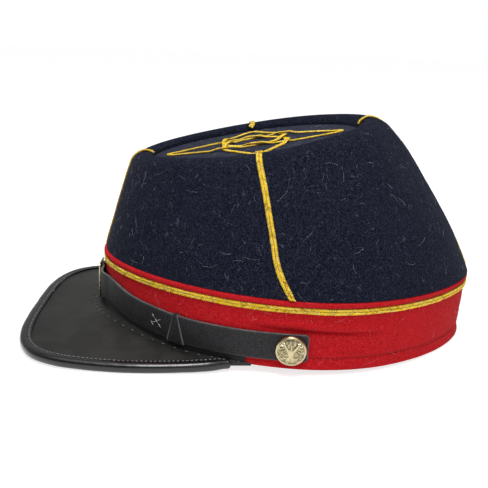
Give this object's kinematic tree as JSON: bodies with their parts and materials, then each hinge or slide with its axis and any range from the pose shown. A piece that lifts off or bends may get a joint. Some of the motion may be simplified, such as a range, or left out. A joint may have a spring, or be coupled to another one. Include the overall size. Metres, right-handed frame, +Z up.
{
  "type": "kepi cap",
  "caption": "Wool kepi with a sunk sloping top, red band, gold braid and top knot, black leather peak, and a chin strap with a slide between side buttons.",
  "frame": {"origin": "on the floor under the middle of the cap's box, the cap resting on its band and peak", "axes": "+Z up, -Y to the peak, +X to the wearer's left"},
  "size_m": [0.1914, 0.2572, 0.1237],
  "materials": {
    "navy_wool": "matt, fuzzy felted wool",
    "red_wool": "matt, soft woven wool",
    "gold_braid": "ribbed metallic-yellow braid with a soft glint",
    "brass": "polished pale brass, a little worn",
    "black_leather": "smooth, matt to satin",
    "binding_leather": "semi-gloss edge binding"
  },
  "bodies": {
    "root": {"crown": "navy_wool", "crown_top": "navy_wool", "band": "red_wool", "piping": "red_wool", "band_braid": "gold_braid", "braid_front": "gold_braid", "braid_back": "gold_braid", "braid_left": "gold_braid", "braid_right": "gold_braid", "top_knot": "gold_braid", "peak": "black_leather", "peak_binding": "binding_leather", "chin_strap": "black_leather", "strap_slide": "brass", "button_left": "brass", "button_right": "brass"}
  },
  "joints": []
}
